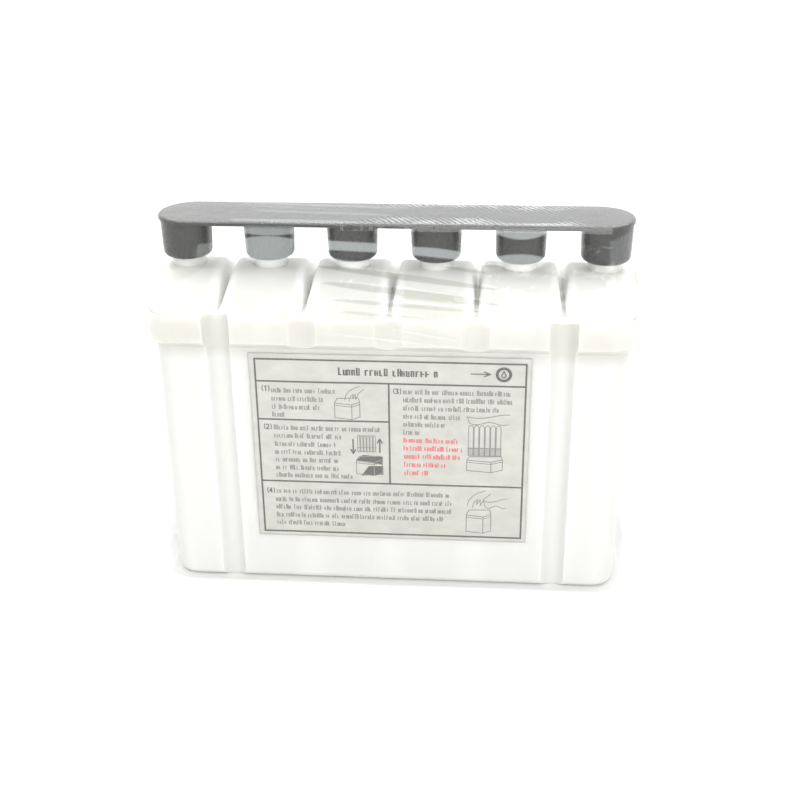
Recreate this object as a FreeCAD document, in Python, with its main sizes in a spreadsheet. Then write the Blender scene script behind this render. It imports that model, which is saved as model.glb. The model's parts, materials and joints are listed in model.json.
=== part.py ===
import FreeCAD, Part
import os
import Sketcher

# Six-cell acid filling pack for a motorcycle battery, millimetres, base on z = 0.
# X runs along the row of cells, the label faces -Y, +Z is up.

SIZES = {
    # row of cells
    "cell_pitch": 24.0,
    "cell_count": 6,
    # bottle, outside
    "body_length": 133.4,
    "body_depth": 47.2,
    "body_height": 76.2,
    "body_corner": 7.0,
    "base_edge_round": 2.5,
    "collar_length": 137.0,
    "collar_depth": 50.8,
    "collar_height": 9.4,
    "collar_corner": 8.0,
    "collar_chamfer": 1.75,
    "roof_foot_depth": 48.8,
    "roof_top_depth": 10.0,
    "roof_height": 7.4,
    "roof_length": 135.6,
    "roof_edge_round": 3.0,
    "roof_end_round": 2.4,
    "roof_end_lean": 1.9,
    "slot_foot_width": 0.9,
    "slot_top_width": 3.4,
    "slot_edge_round": 2.0,
    "groove_radius": 3.9,
    "shallow_radius": 6.5,
    "shallow_inset": 5.2,
    "neck_radius": 4.8,
    "neck_height": 8.0,
    # bottle, inside
    "wall": 1.3,
    "partition": 1.6,
    "cavity_corner": 5.0,
    "cavity_top": 84.0,
    "bore_radius": 3.7,
    "end_cell_half": 8.5,
    # seals and acid
    "foil_thickness": 0.2,
    "foil_radius": 4.7,
    "acid_gap": 0.15,
    "acid_level": 78.0,
    # plug strip
    "strip_length": 135.2,
    "strip_width": 21.2,
    "strip_corner": 10.0,
    "strip_thickness": 0.9,
    "strip_top": 108.0,
    "plug_top_radius": 7.35,
    "plug_foot_radius": 7.0,
    "plug_foot": 95.6,
    "plug_rim_round": 1.6,
    "plug_bore": 5.2,
    "valve_radius": 5.1,
    "valve_thickness": 1.3,
    "valve_stem_radius": 1.6,
    "valve_stem_length": 1.7,
    # label and film
    "label_width": 79.2,
    "label_height": 59.2,
    "label_thickness": 0.2,
    "label_foot": 15.5,
    "film_thickness": 0.2,
    "film_gap": 0.4,
    "film_foot": 0.6,
}

doc = FreeCAD.newDocument("acid_pack")
sheet = doc.addObject("Spreadsheet::Sheet", "Sizes")
for row, (alias, value) in enumerate(SIZES.items(), start=1):
    sheet.set(f"A{row}", alias)
    sheet.set(f"B{row}", str(value))
    sheet.setAlias(f"B{row}", alias)
doc.recompute()


def named(text):
    """Turn bare size names in a formula into spreadsheet references."""
    words = sorted(SIZES, key=len, reverse=True)
    marked = text
    for index, word in enumerate(words):
        marked = marked.replace(word, f"<{index}>")
    for index, word in enumerate(words):
        marked = marked.replace(f"<{index}>", f"Sizes.{word}")
    return marked


def bind(obj, prop, formula):
    """Drive one property of an object by a formula over the sizes."""
    obj.setExpression(prop, named(formula))


def new_body(name):
    """Add an empty body whose label is the file name."""
    body = doc.addObject("PartDesign::Body", name)
    body.Label = name
    return body


def plane_of(body, role):
    """Give the origin plane or axis of a body that has this role."""
    for feature in body.Origin.OriginFeatures:
        if feature.Role == role:
            return feature
    raise ValueError(f"{body.Name} has no {role}")


def new_sketch(body, name, role, height=None, side=None):
    """Add a sketch on an origin plane, moved by formulas along its normal or along X."""
    sketch = body.newObject("Sketcher::SketchObject", name)
    sketch.AttachmentSupport = [(plane_of(body, role), "")]
    sketch.MapMode = "FlatFace"
    if height is not None:
        bind(sketch, "AttachmentOffset.Base.z", height)
    if side is not None:
        bind(sketch, "AttachmentOffset.Base.x", side)
    return sketch


def point(x, y):
    """Make a flat sketch point."""
    return FreeCAD.Vector(x, y, 0)


def closed_outline(sketch, corners):
    """Draw a closed chain of lines through corners and return the line numbers."""
    lines = []
    for start, end in zip(corners, corners[1:] + corners[:1]):
        lines.append(sketch.addGeometry(Part.LineSegment(point(*start), point(*end))))
    for first, second in zip(lines, lines[1:] + lines[:1]):
        sketch.addConstraint(Sketcher.Constraint("Coincident", first, 2, second, 1))
    return lines


def place(sketch, line, x_formula, y_formula):
    """Pin the first end of a line at two driven distances from the sketch origin."""
    for kind, formula in (("DistanceX", x_formula), ("DistanceY", y_formula)):
        number = sketch.addConstraint(Sketcher.Constraint(kind, -1, 1, line, 1, 1.0))
        bind(sketch, f"Constraints[{number}]", formula)


def polygon(sketch, corners):
    """Draw a closed polygon whose corners are (x, y, x formula, y formula)."""
    lines = closed_outline(sketch, [(x, y) for x, y, _, _ in corners])
    for line, (_, _, x_formula, y_formula) in zip(lines, corners):
        place(sketch, line, x_formula, y_formula)
    return lines


def rounded_rectangle(sketch, length, depth, corner, centre="0"):
    """Draw a rounded rectangle; sizes are (start value, formula) pairs."""
    half_x, half_y, radius = length[0] / 2, depth[0] / 2, corner[0]
    inner_x, inner_y = half_x - radius, half_y - radius
    sides = (
        ((-inner_x, -half_y), (inner_x, -half_y)),
        ((half_x, -inner_y), (half_x, inner_y)),
        ((inner_x, half_y), (-inner_x, half_y)),
        ((-half_x, inner_y), (-half_x, -inner_y)),
    )
    middles = ((inner_x, -inner_y), (inner_x, inner_y), (-inner_x, inner_y), (-inner_x, -inner_y))
    quarter = 1.5707963267948966
    lines, arcs = [], []
    for start, end in sides:
        lines.append(sketch.addGeometry(Part.LineSegment(point(*start), point(*end))))
    for index, middle in enumerate(middles):
        circle = Part.Circle(point(*middle), FreeCAD.Vector(0, 0, 1), radius)
        arc = Part.ArcOfCircle(circle, (index - 1) * quarter, index * quarter)
        arcs.append(sketch.addGeometry(arc))
    for index in range(4):
        after = lines[(index + 1) % 4]
        sketch.addConstraint(Sketcher.Constraint("Tangent", lines[index], 2, arcs[index], 1))
        sketch.addConstraint(Sketcher.Constraint("Tangent", arcs[index], 2, after, 1))
        level = "Vertical" if index % 2 else "Horizontal"
        sketch.addConstraint(Sketcher.Constraint(level, lines[index]))
    for arc in arcs[1:]:
        sketch.addConstraint(Sketcher.Constraint("Equal", arcs[0], arc))
    number = sketch.addConstraint(Sketcher.Constraint("Radius", arcs[0], radius))
    bind(sketch, f"Constraints[{number}]", corner[1])
    reach = (
        ("DistanceY", lines[0], -half_y, f"-({depth[1]}) / 2"),
        ("DistanceX", lines[1], half_x, f"{centre} + ({length[1]}) / 2"),
        ("DistanceY", lines[2], half_y, f"({depth[1]}) / 2"),
        ("DistanceX", lines[3], -half_x, f"{centre} - ({length[1]}) / 2"),
    )
    for kind, line, value, formula in reach:
        number = sketch.addConstraint(Sketcher.Constraint(kind, -1, 1, line, 1, value))
        bind(sketch, f"Constraints[{number}]", formula)


def circle_sketch(body, name, radius, height, side, front=None):
    """Add a horizontal sketch with one driven circle."""
    sketch = new_sketch(body, name, "XY_Plane", height=height, side=side)
    ring = sketch.addGeometry(Part.Circle(point(0, 0), FreeCAD.Vector(0, 0, 1), SIZES[radius]))
    sketch.addConstraint(Sketcher.Constraint("Coincident", ring, 3, -1, 1))
    number = sketch.addConstraint(Sketcher.Constraint("Radius", ring, SIZES[radius]))
    bind(sketch, f"Constraints[{number}]", radius)
    if front is not None:
        bind(sketch, "AttachmentOffset.Base.y", front)
    return sketch


def add_feature(body, kind, name, sketch, **values):
    """Add a sketch-based feature; text values are formulas, others are set as they are."""
    feature = body.newObject(f"PartDesign::{kind}", name)
    feature.Profile = sketch
    for prop, value in values.items():
        if isinstance(value, str) and prop not in ("Type", "SideType"):
            bind(feature, prop, value)
        else:
            setattr(feature, prop, value)
    sketch.Visibility = False
    body.Tip = feature
    doc.recompute()
    return feature


def row_pattern(body, name, originals, count, pitch="cell_pitch"):
    """Repeat features along X at the cell pitch."""
    pattern = body.newObject("PartDesign::LinearPattern", name)
    pattern.Originals = originals
    pattern.Direction = (plane_of(body, "X_Axis"), [""])
    bind(pattern, "Length", f"{pitch} * ({count - 1})")
    pattern.Occurrences = count
    body.Tip = pattern
    doc.recompute()
    return pattern


def mirror(body, name, originals, role):
    """Repeat features on the other side of an origin plane."""
    mirrored = body.newObject("PartDesign::Mirrored", name)
    mirrored.Originals = originals
    mirrored.MirrorPlane = (plane_of(body, role), [""])
    body.Tip = mirrored
    doc.recompute()
    return mirrored


def edges_where(shape, test):
    """Name the edges of a shape that pass a test."""
    return [f"Edge{i}" for i, edge in enumerate(shape.Edges, start=1) if test(edge)]


def dress(body, kind, name, base, test, prop, formula):
    """Add a fillet or chamfer on the edges that pass a test."""
    names = edges_where(base.Shape, test)
    if not names:
        raise ValueError(f"{name} found no edges on {base.Name}")
    feature = body.newObject(f"PartDesign::{kind}", name)
    feature.Base = (base, names)
    bind(feature, prop, formula)
    body.Tip = feature
    doc.recompute()
    if not feature.Shape.isValid():
        raise ValueError(f"{name} gives an unsound shape")
    return feature


def is_vertical(edge):
    """Say whether an edge is a straight upright line."""
    box = edge.BoundBox
    return box.XLength < 0.01 and box.YLength < 0.01 and box.ZLength > 0.5


def at_height(edge, height):
    """Say whether a whole edge lies at one height."""
    box = edge.BoundBox
    return box.ZLength < 0.01 and abs(box.ZMin - height) < 0.01


# --- acid bottle: one blow moulding with six separate cells -------------------------

BODY_TOP = SIZES["body_height"]
COLLAR_TOP = BODY_TOP + SIZES["collar_height"]
ROOF_TOP = COLLAR_TOP + SIZES["roof_height"]
FIRST_X = "-2.5 * cell_pitch"


def bottle_outside(body):
    """Build the lower body, the collar and the pitched roof with its rounded edges."""
    foot = new_sketch(body, "BodyOutline", "XY_Plane")
    rounded_rectangle(foot, (133.4, "body_length"), (47.2, "body_depth"), (7.0, "body_corner"))
    lower = add_feature(body, "Pad", "LowerBody", foot, Length="body_height")
    dress(body, "Fillet", "BaseRound", lower,
          lambda edge: at_height(edge, 0.0), "Radius", "base_edge_round")
    band = new_sketch(body, "CollarOutline", "XY_Plane", height="body_height")
    rounded_rectangle(band, (137.0, "collar_length"), (50.8, "collar_depth"),
                      (8.0, "collar_corner"))
    collar = add_feature(body, "Pad", "Collar", band, Length="collar_height")
    reach_x, reach_y = SIZES["collar_length"] / 2 - 0.1, SIZES["collar_depth"] / 2 - 0.01

    def under_collar(edge):
        box = edge.BoundBox
        outer = (max(box.XMax, -box.XMin) > reach_x or max(box.YMax, -box.YMin) > reach_y)
        return at_height(edge, BODY_TOP) and outer

    dress(body, "Chamfer", "CollarChamfer", collar, under_collar, "Size", "collar_chamfer")
    return roof(body)


def roof(body):
    """Add the roof block, slope its front, back and ends and round the ridge and ends."""
    foot = "body_height + collar_height"
    high = f"{foot} + roof_height + 1"
    block = new_sketch(body, "RoofOutline", "XY_Plane", height=f"{foot} - 0.6")
    rounded_rectangle(block, (135.6, "roof_length"), (48.8, "roof_foot_depth"),
                      (7.2, "collar_corner - 0.8"))
    add_feature(body, "Pad", "RoofBlock", block, Length="roof_height + 0.6")
    run = "(roof_foot_depth - roof_top_depth) / 2 / roof_height"
    slope = new_sketch(body, "SlopeProfile", "YZ_Plane")
    polygon(slope, [
        (24.4, 85.6, "roof_foot_depth / 2", foot),
        (26.4, 85.6, "roof_foot_depth / 2 + 2", foot),
        (26.4, 94.0, "roof_foot_depth / 2 + 2", high),
        (2.4, 94.0, f"roof_top_depth / 2 - {run}", high),
    ])
    back = add_feature(body, "Pocket", "BackSlope", slope, Length="roof_length + 4", Midplane=True)
    mirror(body, "FrontSlope", [back], "XZ_Plane")
    lean = new_sketch(body, "EndProfile", "XZ_Plane")
    polygon(lean, [
        (67.8, 87.0, "roof_length / 2", f"{foot} + 1.4"),
        (69.8, 87.0, "roof_length / 2 + 2", f"{foot} + 1.4"),
        (69.8, 94.0, "roof_length / 2 + 2", high),
        (65.9, 94.0, "roof_length / 2 - roof_end_lean", high),
    ])
    end = add_feature(body, "Pocket", "EndLean", lean, Length="roof_foot_depth + 4", Midplane=True)
    ends = mirror(body, "OtherEndLean", [end], "YZ_Plane")

    def on_ridge(edge):
        return at_height(edge, ROOF_TOP) and edge.BoundBox.XLength > 20

    def over_end(edge):
        return at_height(edge, ROOF_TOP) and edge.BoundBox.YLength > 5

    ridge = dress(body, "Fillet", "RidgeRound", ends, on_ridge, "Radius", "roof_edge_round")
    return dress(body, "Fillet", "RoofEndRound", ridge, over_end, "Radius", "roof_end_round")


def slots_and_grooves(body):
    """Cut the gaps between the cell roofs and the upright grooves between the cells."""
    gap = new_sketch(body, "SlotProfile", "XZ_Plane", side="-2 * cell_pitch")
    deep = "body_height + collar_height"
    high = "body_height + collar_height + roof_height + 1"
    polygon(gap, [
        (-0.45, 85.6, "-slot_foot_width / 2", deep),
        (0.45, 85.6, "slot_foot_width / 2", deep),
        (1.7, 94.0, "slot_top_width / 2", high),
        (-1.7, 94.0, "-slot_top_width / 2", high),
    ])
    slot = add_feature(body, "Pocket", "RoofSlot", gap, Type=1, Midplane=True)
    slots = row_pattern(body, "RoofSlots", [slot], 5)

    def along_slot(edge):
        box = edge.BoundBox
        across = box.YLength > 2.0
        inside = abs(box.XMin) < 60 and abs(box.XMax) < 60
        upper = box.ZMin > COLLAR_TOP - 0.01 and box.ZMax > COLLAR_TOP + 2.0
        return across and inside and upper

    return dress(body, "Fillet", "SlotRound", slots, along_slot, "Radius", "slot_edge_round")


def grooves(body):
    """Cut two deep and three shallow upright grooves in the front and the back."""
    deep = circle_sketch(body, "DeepGroove", "groove_radius", "-1", "-2 * cell_pitch",
                         front="-collar_depth / 2")
    cut = add_feature(body, "Pocket", "DeepCut", deep, Type=1, Reversed=True)
    far = circle_sketch(body, "FarGroove", "groove_radius", "-1", "2 * cell_pitch",
                        front="-collar_depth / 2")
    other = add_feature(body, "Pocket", "FarCut", far, Type=1, Reversed=True)
    mirror(body, "DeepBack", [cut, other], "XZ_Plane")
    shallow = circle_sketch(body, "ShallowGroove", "shallow_radius", "-1", "-cell_pitch",
                            front="-collar_depth / 2 - shallow_inset")
    dent = add_feature(body, "Pocket", "ShallowCut", shallow, Type=1, Reversed=True)
    backs = circle_sketch(body, "ShallowBackGroove", "shallow_radius", "-1", "-cell_pitch",
                          front="collar_depth / 2 + shallow_inset")
    back = add_feature(body, "Pocket", "ShallowBackCut", backs, Type=1, Reversed=True)
    return row_pattern(body, "ShallowRow", [dent, back], 3)


def necks(body):
    """Stand a pouring neck on every cell."""
    ring = circle_sketch(body, "NeckOutline", "neck_radius",
                         "body_height + collar_height + roof_height - 1", FIRST_X)
    neck = add_feature(body, "Pad", "Neck", ring, Length="neck_height + 1")
    return row_pattern(body, "Necks", [neck], 6)


def hollow(body):
    """Open the six cells, their roof spaces and the bores of the necks."""
    depth = "body_depth - 2 * wall"
    tall = "cavity_top - wall"
    mid = new_sketch(body, "CavityOutline", "XY_Plane", height="wall", side="-1.5 * cell_pitch")
    rounded_rectangle(mid, (22.4, "cell_pitch - partition"), (44.6, depth), (5.0, "cavity_corner"))
    cell = add_feature(body, "Pocket", "Cavity", mid, Length=tall, Reversed=True)
    row_pattern(body, "Cavities", [cell], 4)
    end_middle = "-2 * cell_pitch - partition / 2 - end_cell_half"
    last = new_sketch(body, "EndCavityOutline", "XY_Plane", height="wall", side=end_middle)
    rounded_rectangle(last, (17.0, "2 * end_cell_half"), (44.6, depth), (5.0, "cavity_corner"))
    end_cell = add_feature(body, "Pocket", "EndCavity", last, Length=tall, Reversed=True)
    mirror(body, "EndCavities", [end_cell], "YZ_Plane")
    for name, middle, width, count in (("Roof", "-1.5 * cell_pitch", "cell_pitch - 5.8", 4),
                                       ("EndRoof", end_middle, "2 * end_cell_half - 3.2", 1)):
        profile = new_sketch(body, f"{name}Space", "YZ_Plane", height=middle)
        top = "body_height + collar_height + roof_height - wall"
        edge = "roof_top_depth / 2 - 0.4"
        foot = "roof_foot_depth / 2 - 3.2"
        polygon(profile, [
            (-21.2, 83.5, f"-({foot})", "cavity_top - 0.5"),
            (21.2, 83.5, foot, "cavity_top - 0.5"),
            (21.2, 85.4, foot, "body_height + collar_height - 0.2"),
            (4.6, 91.7, edge, top),
            (-4.6, 91.7, f"-({edge})", top),
            (-21.2, 85.4, f"-({foot})", "body_height + collar_height - 0.2"),
        ])
        space = add_feature(body, "Pocket", f"{name}Hollow", profile, Length=width, Midplane=True)
        if count > 1:
            row_pattern(body, f"{name}Hollows", [space], count)
        else:
            mirror(body, f"{name}Hollows", [space], "YZ_Plane")
    ring = circle_sketch(body, "BoreOutline", "bore_radius",
                         "body_height + collar_height + roof_height - wall - 0.5", FIRST_X)
    bore = add_feature(body, "Pocket", "Bore", ring, Type=1, Reversed=True)
    return row_pattern(body, "Bores", [bore], 6)


def make_bottle():
    """Build the whole bottle."""
    body = new_body("acid_bottle")
    bottle_outside(body)
    slots_and_grooves(body)
    grooves(body)
    necks(body)
    hollow(body)
    return body


# --- parts that repeat once per cell ---------------------------------------------------


def make_foil(index):
    """Build the foil disc welded over one neck."""
    body = new_body(f"foil_seal_{index + 1}")
    top = "body_height + collar_height + roof_height + neck_height"
    ring = circle_sketch(body, f"FoilOutline{index}", "foil_radius", top,
                         f"({index} - 2.5) * cell_pitch")
    add_feature(body, "Pad", f"Foil{index}", ring, Length="foil_thickness")
    return body


def make_acid(index):
    """Build the body of liquid standing in one cell."""
    body = new_body(f"electrolyte_{index + 1}")
    if index in (0, 5):
        side = -1 if index == 0 else 1
        middle = f"({side}) * (2 * cell_pitch + partition / 2 + end_cell_half)"
        length = (16.7, "2 * end_cell_half - 2 * acid_gap")
    else:
        middle = f"({index} - 2.5) * cell_pitch"
        length = (22.1, "cell_pitch - partition - 2 * acid_gap")
    outline = new_sketch(body, f"AcidOutline{index}", "XY_Plane", height="wall + acid_gap",
                         side=middle)
    rounded_rectangle(outline, length, (44.3, "body_depth - 2 * wall - 2 * acid_gap"),
                      (5.0, "cavity_corner"))
    add_feature(body, "Pad", f"Acid{index}", outline, Length="acid_level - wall - acid_gap")
    return body


def make_valve(index):
    """Build the rubber relief valve held in the top of one plug."""
    body = new_body(f"relief_valve_{index + 1}")
    seat = "strip_top - strip_thickness"
    disc = circle_sketch(body, f"ValveOutline{index}", "valve_radius",
                         f"{seat} - valve_thickness", f"({index} - 2.5) * cell_pitch")
    cap = add_feature(body, "Pad", f"ValveDisc{index}", disc, Length="valve_thickness")
    pin = circle_sketch(body, f"StemOutline{index}", "valve_stem_radius",
                        f"{seat} - valve_thickness - valve_stem_length",
                        f"({index} - 2.5) * cell_pitch")
    add_feature(body, "Pad", f"ValveStem{index}", pin, Length="valve_stem_length + 0.2")
    return body


# --- plug strip ----------------------------------------------------------------------


def make_strip():
    """Build the strip: a thin plate with six hollow plugs under it."""
    body = new_body("plug_strip")
    outline = new_sketch(body, "StripOutline", "XY_Plane", height="strip_top - strip_thickness")
    rounded_rectangle(outline, (135.2, "strip_length"), (21.2, "strip_width"),
                      (10.0, "strip_corner"))
    add_feature(body, "Pad", "Plate", outline, Length="strip_thickness")
    profile = new_sketch(body, "PlugProfile", "XZ_Plane", side=FIRST_X)
    under = "strip_top - strip_thickness"
    polygon(profile, [
        (5.2, 95.6, "plug_bore", "plug_foot"),
        (7.0, 95.6, "plug_foot_radius", "plug_foot"),
        (7.35, 107.4, "plug_top_radius", f"{under} + 0.3"),
        (5.2, 107.4, "plug_bore", f"{under} + 0.3"),
    ])
    plug = add_feature(body, "Revolution", "Plug", profile,
                       ReferenceAxis=(profile, ["V_Axis"]), Angle=360.0)
    rows = row_pattern(body, "Plugs", [plug], 6)
    foot, reach = SIZES["plug_foot"], SIZES["plug_bore"] * 2 + 0.5

    def outer_rim(edge):
        return at_height(edge, foot) and edge.BoundBox.YLength > reach

    rim = dress(body, "Fillet", "RimRound", rows, outer_rim, "Radius", "plug_rim_round")
    top, under_z = SIZES["strip_top"], SIZES["strip_top"] - SIZES["strip_thickness"]

    def plate_edge(edge):
        wide = edge.BoundBox.XLength > 8.0 or edge.BoundBox.YLength > 8.0
        return at_height(edge, top) and wide

    dress(body, "Fillet", "PlateRound", rim, plate_edge, "Radius", "strip_thickness * 0.4")
    return body


# --- label and film -------------------------------------------------------------------


def make_label():
    """Build the paper sheet on the front of the bottle."""
    body = new_body("instruction_label")
    outline = new_sketch(body, "LabelOutline", "XY_Plane", height="label_foot")
    near = "-body_depth / 2 - label_thickness"
    polygon(outline, [
        (-39.6, -23.8, "-label_width / 2", near),
        (39.6, -23.8, "label_width / 2", near),
        (39.6, -23.6, "label_width / 2", "-body_depth / 2"),
        (-39.6, -23.6, "-label_width / 2", "-body_depth / 2"),
    ])
    add_feature(body, "Pad", "Paper", outline, Length="label_height")
    return body


FILM_LEVELS = (
    # height of the section, then the sizes whose outline it follows
    ("film_foot", "collar"),
    ("body_height + collar_height + film_gap", "collar"),
    ("strip_top - strip_thickness - 0.2", "strip"),
    ("strip_top + film_gap", "strip"),
)
OUTLINES = {
    "collar": ("collar_length", "collar_depth", "collar_corner"),
    "strip": ("strip_length", "strip_width", "strip_corner"),
}


def film_solid(body, kind, tag, grow_name, foot_drop, top_rise):
    """Add or remove the hood's loft, standing off its outlines by the gap and a growth."""
    grow = SIZES[grow_name] if grow_name else 0.0
    extra = f"film_gap + {grow_name}" if grow_name else "film_gap"
    reach = SIZES["film_gap"] + grow
    sections = []
    for number, (height, outline) in enumerate(FILM_LEVELS):
        if number == 0:
            height = f"{height} - {foot_drop}"
        if number == len(FILM_LEVELS) - 1:
            height = f"{height} + {top_rise}"
        sketch = new_sketch(body, f"{tag}{number}", "XY_Plane", height=height)
        length, depth, corner = OUTLINES[outline]
        rounded_rectangle(sketch, (SIZES[length] + 2 * reach, f"{length} + 2 * ({extra})"),
                          (SIZES[depth] + 2 * reach, f"{depth} + 2 * ({extra})"),
                          (SIZES[corner] + reach, f"{corner} + {extra}"))
        sections.append(sketch)
    doc.recompute()
    loft = body.newObject(f"PartDesign::{kind}", f"{tag}Loft")
    loft.Profile = sections[0]
    loft.Sections = sections[1:]
    loft.Ruled = True
    body.Tip = loft
    doc.recompute()
    return loft


def make_film():
    """Build the shrink film as a thin hood, open below and closed over the strip."""
    body = new_body("shrink_film")
    film_solid(body, "AdditiveLoft", "FilmOuter", "film_thickness", "0", "film_thickness")
    film_solid(body, "SubtractiveLoft", "FilmInner", "", "1", "0")
    return body


def check_and_write(bodies):
    """Stop on any broken object, then write every sub-part to its own file."""
    doc.recompute()
    for obj in doc.Objects:
        if "Invalid" in obj.State or "Error" in obj.State:
            raise RuntimeError(f"{obj.Name} is broken: {obj.State}")
    os.makedirs("parts", exist_ok=True)
    for body in bodies:
        shape = body.Shape
        if shape.isNull() or not shape.isValid() or len(shape.Solids) != 1:
            raise RuntimeError(f"{body.Label} is not one sound solid: {len(shape.Solids)}")
        shape.exportStep(os.path.join("parts", f"{body.Label}.step"))
        box = shape.BoundBox
        print(f"{body.Label}: {shape.Volume:.1f} mm3, z {box.ZMin:.2f} to {box.ZMax:.2f}, "
              f"x {box.XMin:.2f} to {box.XMax:.2f}, y {box.YMin:.2f} to {box.YMax:.2f}")


built = [make_bottle(), make_strip(), make_label(), make_film()]
for cell_index in range(SIZES["cell_count"]):
    built += [make_foil(cell_index), make_acid(cell_index), make_valve(cell_index)]
check_and_write(built)
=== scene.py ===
"""Looks of a six-cell acid filling pack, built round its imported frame.

Lengths are metres in the frame of the part: base on z = 0, cells in a row along X,
printed sheet towards -Y. MM turns the sizes, written in millimetres, into metres.
"""

import json
import logging
import math
from dataclasses import dataclass
from enum import Enum

import bmesh
import bpy
import numpy as np
from mathutils import Matrix, Vector

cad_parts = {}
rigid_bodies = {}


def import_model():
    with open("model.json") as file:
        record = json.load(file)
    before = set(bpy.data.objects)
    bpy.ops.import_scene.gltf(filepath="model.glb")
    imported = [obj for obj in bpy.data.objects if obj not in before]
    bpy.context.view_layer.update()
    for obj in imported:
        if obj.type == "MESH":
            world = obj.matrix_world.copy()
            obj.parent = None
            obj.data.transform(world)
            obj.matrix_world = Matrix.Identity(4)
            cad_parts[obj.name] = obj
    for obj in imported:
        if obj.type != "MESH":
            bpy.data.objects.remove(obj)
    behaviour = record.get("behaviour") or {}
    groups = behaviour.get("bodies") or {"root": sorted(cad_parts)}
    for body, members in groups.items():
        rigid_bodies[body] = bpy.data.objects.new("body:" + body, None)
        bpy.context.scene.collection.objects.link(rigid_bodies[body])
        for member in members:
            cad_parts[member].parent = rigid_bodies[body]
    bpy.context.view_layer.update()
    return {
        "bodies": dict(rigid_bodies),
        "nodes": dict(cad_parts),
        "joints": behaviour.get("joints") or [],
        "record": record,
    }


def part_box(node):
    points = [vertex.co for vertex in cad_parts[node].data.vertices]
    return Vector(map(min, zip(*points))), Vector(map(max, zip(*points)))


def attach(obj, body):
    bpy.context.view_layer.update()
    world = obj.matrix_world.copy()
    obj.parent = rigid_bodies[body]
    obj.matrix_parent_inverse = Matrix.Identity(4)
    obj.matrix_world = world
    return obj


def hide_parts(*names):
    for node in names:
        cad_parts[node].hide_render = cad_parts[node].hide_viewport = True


MM = 0.001
log = logging.getLogger("acid_pack")


class Body(Enum):
    """Rigid bodies that pieces ride on."""

    BOTTLE = "bottle"
    STRIP = "strip"
    FILM = "film"


class Mark(Enum):
    """Inks used on the printed sheet."""

    DARK = "dark"
    MID = "mid"
    RED = "red"


# --- material boards ------------------------------------------------------------------


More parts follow.
